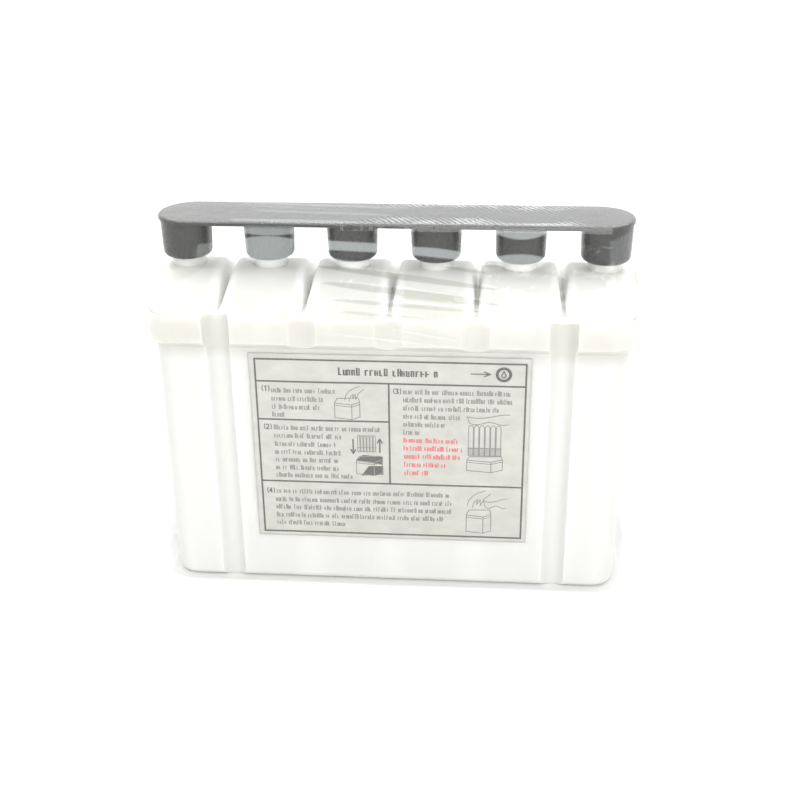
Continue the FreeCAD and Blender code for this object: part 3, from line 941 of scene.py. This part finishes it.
def step_number(sheet: InkSheet, number: int, left: float, top: float) -> None:
    """Draw a step's number between round brackets.

    Args:
        sheet: where it goes.
        number: from 1 to 4.
        left: left edge of the first bracket.
        top: top of the number.
    """
    tall = 1.7
    for way, x in ((-1, left + 0.3), (1, left + 1.9)):
        bow = [(x + way * 0.3 * math.sin(t * math.pi) * 0.8, top + tall * t)
               for t in (0.0, 0.25, 0.5, 0.75, 1.0)]
        sheet.line(bow, 0.24)
    for stroke in DIGITS[number]:
        sheet.line([(left + 0.6 + x * 0.9, top + 0.1 + y * (tall - 0.2)) for x, y in stroke], 0.3)


def battery_box(sheet: InkSheet, left: float, top: float, width: float, height: float) -> None:
    """Draw a battery as a box seen from one corner.

    Args:
        sheet: where it goes.
        left: left edge.
        top: top edge.
        width: whole width.
        height: whole height.
    """
    right, foot = left + width, top + height
    side, lid = left + width * 0.68, top + height * 0.22
    sheet.line([(left, lid), (side, lid + 0.5), (right, lid - 0.4), (right, foot - 0.9),
                (side, foot), (left, foot - 0.5), (left, lid)], 0.24)
    sheet.line([(side, lid + 0.5), (side, foot)], 0.24)
    sheet.line([(left, lid), (left + 0.8, top), (right - 0.4, top - 0.2), (right, lid - 0.4)], 0.24)
    sheet.line([(left, lid + 0.7), (side, lid + 1.2), (right, lid + 0.3)], 0.22)


def cell_row(sheet: InkSheet, left: float, top: float, width: float, height: float) -> None:
    """Draw a row of six bottle cells with rounded heads.

    Args:
        sheet: where it goes.
        left: left edge.
        top: top edge.
        width: whole width.
        height: whole height.
    """
    pitch = width / 6
    for cell in range(6):
        x = left + pitch * cell
        sheet.line([(x + 0.1, top + height), (x + 0.1, top + 0.6), (x + pitch * 0.3, top),
                    (x + pitch * 0.7, top), (x + pitch - 0.15, top + 0.6),
                    (x + pitch - 0.15, top + height)], 0.22)
    sheet.line([(left, top + height * 0.75), (left + width, top + height * 0.75)], 0.22)
    sheet.line([(left, top + height), (left + width, top + height)], 0.22)


def lifting_hand(sheet: InkSheet, left: float, top: float, size: float) -> None:
    """Draw a hand reaching down as a few free curves.

    Args:
        sheet: where it goes.
        left: left edge.
        top: top edge.
        size: scale of the drawing.
    """
    outline = [(0.0, 4.2), (0.4, 2.6), (1.4, 1.4), (2.6, 0.6), (4.2, 0.0)]
    fingers = [(1.2, 4.6), (1.6, 3.2), (2.4, 2.4), (2.2, 3.8), (3.0, 2.4), (3.1, 4.0), (3.9, 2.2),
               (5.4, 0.8)]
    for path in (outline, fingers):
        sheet.line([(left + x * size, top + y * size) for x, y in path], 0.22)


def resting_hand(sheet: InkSheet, left: float, top: float, width: float) -> None:
    """Draw a flat hand lying over something as two long curves.

    Args:
        sheet: where it goes.
        left: left edge.
        top: top edge.
        width: whole width.
    """
    s = np.linspace(0, 1, 9)
    upper = np.stack([left + width * s, top + 0.5 * np.sin(s * 5) - 0.4 * s], 1)
    lower = np.stack([left + width * (0.06 + 0.9 * s), top + 2.0 + 0.45 * np.sin(s * 9)], 1)
    sheet.line([tuple(p) for p in upper], 0.22)
    sheet.line([tuple(p) for p in lower], 0.22)
    sheet.line([tuple(upper[0]), tuple(lower[0])], 0.22)


# --- shrink film ----------------------------------------------------------------------


@dataclass(frozen=True)
class Streak:
    """A long lens-shaped fold, used for painted shade and painted sheen on the film: ends in mm
    along x and up the surface, and half width.
    """

    x0: float
    h0: float
    x1: float
    h1: float
    half: float
    depth: float = 1.0

    def weight(self, x: np.ndarray, h: np.ndarray) -> np.ndarray:
        """Give 1 on the fold's middle line and 0 outside its lens.

        The half width swells as the root of a half sine from end to end.

        Args:
            x: position along the row, mm.
            h: position up the surface, mm.

        Returns:
            The fold's weight at every point.
        """
        t = (x - self.x0) / (self.x1 - self.x0)
        inside = (t > 0) & (t < 1)
        swollen = self.half * np.sqrt(np.sin(np.clip(t, 0, 1) * math.pi) + 1e-6)
        off = np.abs(h - (self.h0 + (self.h1 - self.h0) * t)) / np.maximum(swollen, 1e-3)
        return np.where(inside, 1 - step(off, 0.55, 1.0), 0.0) * self.depth


@dataclass(frozen=True)
class SheenPatch:
    """A patch of painted sheen with upright sides: ends in mm along x, edges in mm up the surface.
    """

    x0: float
    x1: float
    low: float
    high: float
    fall: float = 0.0
    low_sag: float = 0.0
    high_sag: float = 0.0
    depth: float = 1.0

    def weight(self, x: np.ndarray, h: np.ndarray) -> np.ndarray:
        """Give 1 inside the patch and 0 outside, with a soft rim.

        Both edges fall in a straight line from left to right and bulge by a parabola.

        Args:
            x: position along the row, mm.
            h: position up the surface, mm.

        Returns:
            The patch's weight at every point.
        """
        u = 2 * (x - self.x0) / (self.x1 - self.x0) - 1
        hump, drop = 1 - u * u, self.fall * (u + 1) / 2
        low, high = self.low + self.low_sag * hump - drop, self.high + self.high_sag * hump - drop
        sides = step(1 - np.abs(u), 0.0, 0.14)
        return sides * step(h, low - 0.25, low + 0.25) * (1 - step(h, high - 0.25, high + 0.25)) \
            * self.depth


# Folds on the shoulder slopes: each pushes the film in and is painted darker as painted shade; the
# last two are broad patches of painted shade over the end cells.
SLOPE_STREAKS = (
    Streak(-20.0, 15.0, 29.5, 9.2, 1.15),
    Streak(-18.6, 10.3, 30.0, 5.0, 1.35),
    Streak(-16.0, 5.5, 25.0, 3.0, 0.85, 0.9),
    Streak(-13.4, 2.1, 9.0, 1.0, 0.6, 0.7),
    Streak(15.0, 15.4, 27.2, 13.6, 0.6, 0.9),
    Streak(-2.0, 6.9, 24.5, 4.9, 0.5, 0.6),
    Streak(25.0, 15.7, 30.2, 15.8, 0.6, 0.9),
    Streak(-71.0, 9.0, -51.0, 15.6, 4.6, 0.35),
    Streak(51.0, 14.6, 71.0, 11.0, 3.8, 0.30),
)
# Pale streaks of painted sheen on the film over the collar.
WALL_STREAKS = (
    Streak(-16.5, 82.0, 21.5, 78.0, 0.42),
    Streak(1.0, 83.5, 21.0, 80.2, 0.36),
)
# Bands of painted sheen on the film's crown.
CROWN_LIGHT = (
    Streak(-50.0, 8.6, 4.0, 4.2, 1.3, 0.42),
    Streak(-46.0, 5.6, -8.0, 1.0, 0.9, 0.30),
    Streak(-40.0, 0.4, 0.0, -2.4, 1.6, 0.34),
    Streak(-46.0, -8.6, -6.0, -9.6, 1.7, 0.55),
    Streak(20.0, -8.9, 50.0, -9.4, 1.5, 0.40),
)
# Streaks of painted shade on the film's crown.
CROWN_DARK = (
    Streak(-31.0, 3.0, -12.0, 2.3, 0.5, 0.45),
    Streak(-20.0, 5.2, 2.0, 3.4, 0.45, 0.35),
)
# Patches of painted reflection on the film in front of the plugs.
PLUG_SHEEN = (
    SheenPatch(-54.0, -46.5, 15.5, 20.6, -1.0, 0.0, 0.0, 0.40),
    SheenPatch(-41.6, -26.6, 17.6, 22.4, 0.0, -2.0, 0.9, 0.85),
    SheenPatch(-41.6, -26.6, 24.2, 27.0, 0.0, -0.7, 0.0, 0.80),
    SheenPatch(-18.0, -3.2, 19.7, 22.3, 0.6, 0.0, 0.0, 1.00),
    SheenPatch(-17.0, -4.2, 16.9, 17.7, 0.6, -1.8, -0.8, 0.80),
    SheenPatch(5.0, 20.2, 18.6, 20.9, 1.4, 0.0, 0.3, 1.00),
    SheenPatch(28.0, 43.2, 25.4, 27.5, 0.0, -2.0, 0.0, 1.00),
    SheenPatch(28.4, 42.8, 16.6, 18.2, 0.0, -2.0, 1.0, 0.90),
    SheenPatch(59.6, 66.0, 15.0, 23.0, -2.0, 0.0, 0.0, 0.25),
)


@dataclass
class ShrinkWrap:
    """The clear film: a hood pulled tight over the strip and down round the bottle."""

    columns: int = 520
    skirt_rows: int = 18
    collar_rows: int = 34
    slope_rows: int = 104
    top_rows: int = 34
    edge_round: float = 1.1

    def build(self) -> None:
        """Build the hood, store the weights of its painted shade, painted sheen and puckers, and
        dress it.
        """
        low, high = (np.array(corner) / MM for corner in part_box("shrink_film"))
        strip_low, strip_high = (np.array(corner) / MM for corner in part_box("plug_strip"))
        self.foot, self.crown = low[2], high[2] - 0.12
        self.wall = (high[0] - 0.12, high[1] - 0.12, 8.4)
        self.rim = (strip_high[0] + 0.45, strip_high[1] + 0.45, strip_high[1] - 0.15)
        self.break_height = 86.1
        self.rim_height = strip_high[2] - 1.3
        levels = self.levels()
        points, tags = self.surface(levels)
        piece = grid_mesh("film_hood", points, closed_u=True)
        for name, values in tags.items():
            point_value(piece, name, values)
        self.close_crown(piece)
        smooth(piece)
        dress(piece, ClearShrinkFilm().make())
        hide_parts("shrink_film")
        settle(piece, Body.FILM)

    def close_crown(self, piece: bpy.types.Object) -> None:
        """Join the two halves of the last row, which lie on each other along the middle.

        Args:
            piece: the hood.
        """
        shell = bmesh.new()
        shell.from_mesh(piece.data)
        last = [point for point in shell.verts if abs(point.co.y) < 1e-7
                and point.co.z > (self.crown - 0.5) * MM]
        bmesh.ops.remove_doubles(shell, verts=last, dist=0.06 * MM)
        shell.to_mesh(piece.data)
        shell.free()

    def levels(self) -> np.ndarray:
        """List the hood's levels as (height, blend to the rim, inset from the rim, up).

        Blend is 0 on the wall and 1 at the rim; inset runs over the crown to its middle
        line; up is the distance along the surface above the break, in mm.

        Returns:
            Array (rows, 4).
        """
        below = (76.0 - self.foot) / (self.break_height - self.foot)
        hem = np.array([0.0, 0.35, 0.7, 1.1, 1.6]) / (self.break_height - self.foot)
        wall = np.concatenate([hem,
                               np.linspace(2 * hem[-1], below, self.skirt_rows, endpoint=False),
                               np.linspace(below, 1, self.collar_rows, endpoint=False)])
        slope = np.linspace(0, 1, self.slope_rows, endpoint=False)
        top = np.linspace(0, 1, self.top_rows) ** 1.15
        run = math.hypot(self.rim_height - self.break_height, self.wall[1] - self.rim[1])
        rows = [(self.foot + (self.break_height - self.foot) * t, 0.0, 0.0,
                 self.foot + (self.break_height - self.foot) * t - self.break_height)
                for t in wall]
        rows += [(self.break_height + (self.rim_height - self.break_height) * t, t, 0.0, run * t)
                 for t in slope]
        rise = self.crown - self.rim_height
        for t in top:
            inset = t * self.rim[1]
            corner = min(1.0, inset / self.edge_round)
            height = self.rim_height + rise * math.sqrt(1 - (1 - corner) ** 2)
            rows.append((height, 1.0, inset, run + inset))
        return np.array(rows)

    def outline(self, reach_x: np.ndarray, reach_y: np.ndarray, corner: np.ndarray,
                around: np.ndarray) -> tuple[np.ndarray, np.ndarray]:
        """Walk round a rounded rectangle.

        Around is 0 to 1 from the middle of the front, anticlockwise from above. Each side
        and each corner keeps a fixed share of the walk, so levels line up.

        Args:
            reach_x: half length at every level.
            reach_y: half depth at every level.
            corner: corner radius at every level.
            around: share of the walk at every column.

        Returns:
            The x and y of every point, shape (levels, columns).
        """
        flat_x, flat_y = (reach_x - corner)[:, None], (reach_y - corner)[:, None]
        radius = corner[:, None]
        marks = np.array([0.0, 0.17, 0.235, 0.265, 0.33, 0.67, 0.735, 0.765, 0.83, 1.0])
        stage = np.clip(np.searchsorted(marks, around, side="right") - 1, 0, 8)
        t = (around - marks[stage]) / (marks[stage + 1] - marks[stage])
        stage, t = stage[None, :], t[None, :]
        angle = t * math.pi / 2
        parts = [stage == part for part in range(len(marks) - 1)]
        over_x, over_y = radius * np.sin(angle), radius * np.cos(angle)
        x = np.select(parts, [flat_x * t, flat_x + over_x, flat_x + radius, flat_x + over_y,
                              flat_x * (1 - 2 * t), -flat_x - over_x, -flat_x - radius,
                              -flat_x - over_y, -flat_x * (1 - t)])
        y = np.select(parts, [-flat_y - radius, -flat_y - over_y, flat_y * (2 * t - 1),
                              flat_y + over_x, flat_y + radius, flat_y + over_y,
                              flat_y * (1 - 2 * t), -flat_y - over_x, -flat_y - radius])
        return x, y

    def surface(self, levels: np.ndarray) -> tuple[np.ndarray, dict[str, np.ndarray]]:
        """Work out the hood's points and the weights of its painted shade, painted sheen and
        puckers.

        The outline blends from the collar's to the strip's, folds push the film in or out
        along its outward direction, and fine puckers run slanting off the rim.

        Args:
            levels: as levels() gives them.

        Returns:
            Points (rows, columns, 3) in metres, and three weights: painted shade, painted sheen and
            fine puckers.
        """
        height, share, inset, up = levels.T
        around = np.linspace(0, 1, self.columns, endpoint=False)
        mix = [wall + (rim - wall) * share for wall, rim in zip(self.wall, self.rim)]
        reach_x, reach_y = mix[0] - inset, mix[1] - inset
        corner = np.clip(mix[2] - inset, 0.02, None)
        x, y = self.outline(reach_x, np.maximum(reach_y, corner + 1e-3), corner, around)
        z = np.broadcast_to(height[:, None], x.shape).copy()
        rise = np.broadcast_to(up[:, None], x.shape)
        face = np.where(y < 0, 1.0, -1.0)
        turned = x * face
        on_slope = (share[:, None] > 0) & (inset[:, None] <= 0)
        on_wall = share[:, None] <= 0
        on_crown = inset[:, None] > 0
        # Slope folds and the crown's dark streaks weigh painted shade; the wall streaks, the
        # crown's light bands and the patches over the plugs weigh painted sheen.
        slope = sum(fold.weight(turned, rise) for fold in SLOPE_STREAKS) * on_slope
        wall = sum(fold.weight(turned, z) for fold in WALL_STREAKS) * on_wall
        light = sum(fold.weight(x, y) for fold in CROWN_LIGHT) * on_crown
        dark = sum(fold.weight(x, y) for fold in CROWN_DARK) * on_crown
        sheen_layer = sum(patch.weight(turned, rise) for patch in PLUG_SHEEN) * on_slope
        # The hem is painted darker.
        hem = 0.18 * (1 - step(z, self.foot + 0.7, self.foot + 1.1))
        loose = (swell(x * MM, rise * MM, 3, 0.045) * 0.10
                 + swell(x * MM, rise * MM, 4, 0.016) * 0.03)
        slack = np.clip(np.abs(rise + 43) / 43, 0, 1)
        middle = np.hypot(x, y) + 1e-6
        push = (slope * 0.12 + loose * (0.4 + 0.6 * slack)) * (inset[:, None] <= 0)
        push = np.minimum(push, 0.12)
        x = x - x / middle * push
        y = y - y / middle * push
        y[-1] = 0.0
        tags = {"painted_shade": np.clip(slope + dark + hem, 0, 1),
                "painted_sheen": np.clip(sheen_layer + wall + light, 0, 1),
                "fine": self.pucker_zone(x, y, rise, inset)}
        return np.stack([x, y, z], axis=-1) * MM, tags

    def pucker_zone(self, x: np.ndarray, y: np.ndarray, rise: np.ndarray,
                    inset: np.ndarray) -> np.ndarray:
        """Say where the film is puckered: along both edges of the crown.

        The zone fades a few millimetres in from the rim, just over it, and towards the left
        and the right end; slow swells make its reach and strength uneven.

        Args:
            x: along the row, mm.
            y: across the row, mm.
            rise: distance up the surface, mm.
            inset: inset over the crown at every level.

        Returns:
            Weights from 0 to 1.
        """
        edge = rise - rise[np.argmax(inset > 0), 0]
        reach = np.maximum(6.8 + 2.4 * swell(x * MM, y * MM, 7, 0.022), 2.5)
        near = (1 - step(edge, 0.5 * reach, reach)) * step(edge, 0.5, 1.1)
        patch = 0.45 + 0.55 * step(swell(x * MM, y * MM, 9, 0.012), -0.8, 0.4)
        side = step(x, -14.0, 6.0) * (1 - step(x, 44.0, 58.0))
        return near * patch * side


# --- studio ---------------------------------------------------------------------------


@dataclass
class Studio:
    """White surroundings, soft lights and the camera."""

    eye: tuple = (28.2, -333.8, 209.9)
    turn: float = -4.64
    tilt: float = 25.55
    roll: float = -0.60
    lens: float = 55.08
    daylight: float = 1.12
    near_floor: float = 0.70
    far_floor: float = 0.96

    def build(self) -> None:
        """Build the floor, the surroundings, the lights and the camera."""
        self.floor()
        self.surroundings()
        self.softbox("softbox_top", (0.0, 0.20, 0.85), (0.0, 0.0, 0.05), 1.2, 11.5)
        self.softbox("softbox_front", (0.35, -1.1, 0.75), (0.0, 0.0, 0.05), 1.0, 9.0)
        self.camera()
        bpy.context.scene.view_settings.view_transform = "Standard"

    def floor(self) -> None:
        """Lay a wide pale floor that grows paler with its distance from the middle."""
        side = np.linspace(-3.0, 3.0, 7)
        x, y = np.meshgrid(side, side)
        piece = grid_mesh("floor", np.stack([x, y, np.zeros_like(x)], axis=-1))
        board = Board("pale_floor")
        shader = board.add("BsdfPrincipled", Roughness=0.9)
        reach = board.add("VectorMath", operation="LENGTH")
        board.join(board.place(), reach.inputs[0])
        # The floor is painted darker near the object than far off: painted shade that cuts the
        # light it throws back onto the object, while the far floor reads white.
        far = board.ramp(reach.outputs["Value"], 0.35, 1.2, 0.0, 1.0)
        cloud = board.calc("MULTIPLY_ADD", board.noise(6.0, 3.0), 0.05, far)
        board.join(board.blend(cloud, (self.near_floor,) * 3, (self.far_floor,) * 3),
                   shader.inputs["Base Color"])
        dress(piece, board.finish(shader))

    def surroundings(self) -> None:
        """Light the scene from all round with white."""
        world = bpy.data.worlds.new("white_room")
        world.use_nodes = True
        sky = world.node_tree.nodes["Background"]
        sky.inputs["Color"].default_value = (1.0, 1.0, 1.0, 1.0)
        sky.inputs["Strength"].default_value = self.daylight
        bpy.context.scene.world = world

    def softbox(self, name: str, place: tuple, aim: tuple, size: float, power: float) -> None:
        """Hang one square soft light.

        Args:
            name: the light's name.
            place: where it hangs, metres.
            aim: the point it faces.
            size: length of its side.
            power: watts.
        """
        light = bpy.data.lights.new(name, "AREA")
        light.size, light.energy = size, power
        holder = bpy.data.objects.new(name, light)
        bpy.context.collection.objects.link(holder)
        turn = (Vector(place) - Vector(aim)).to_track_quat("Z", "Y")
        holder.matrix_world = Matrix.Translation(place) @ turn.to_matrix().to_4x4()

    def camera(self) -> None:
        """Set the camera from its place and its turn, tilt and roll."""
        turn, tilt, roll = (math.radians(angle) for angle in (self.turn, self.tilt, self.roll))
        ahead = np.array([math.sin(turn) * math.cos(tilt), math.cos(turn) * math.cos(tilt),
                          -math.sin(tilt)])
        level = np.array([math.cos(turn), -math.sin(turn), 0.0])
        upright = np.cross(level, ahead)
        right = math.cos(roll) * level + math.sin(roll) * upright
        up = -math.sin(roll) * level + math.cos(roll) * upright
        lens = bpy.data.cameras.new("camera")
        lens.lens, lens.sensor_width = self.lens, 36.0
        lens.clip_start, lens.clip_end = 0.01, 20.0
        holder = bpy.data.objects.new("camera", lens)
        bpy.context.collection.objects.link(holder)
        pose = np.eye(4)
        pose[:3, 0], pose[:3, 1], pose[:3, 2] = right, up, -ahead
        pose[:3, 3] = np.array(self.eye) * MM
        holder.matrix_world = Matrix(pose.tolist())
        bpy.context.scene.camera = holder


def main() -> None:
    """Load the frame and build every sub-assembly in order, logging each as done."""
    logging.basicConfig(level=logging.INFO, format="%(name)s: %(message)s")
    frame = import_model()
    for part in (Studio(), AcidBottle(frame), PlugStrip(frame), InstructionSheet(),
                 ShrinkWrap()):
        part.build()
        log.info("%s done", type(part).__name__)


if __name__ == "__main__":
    main()
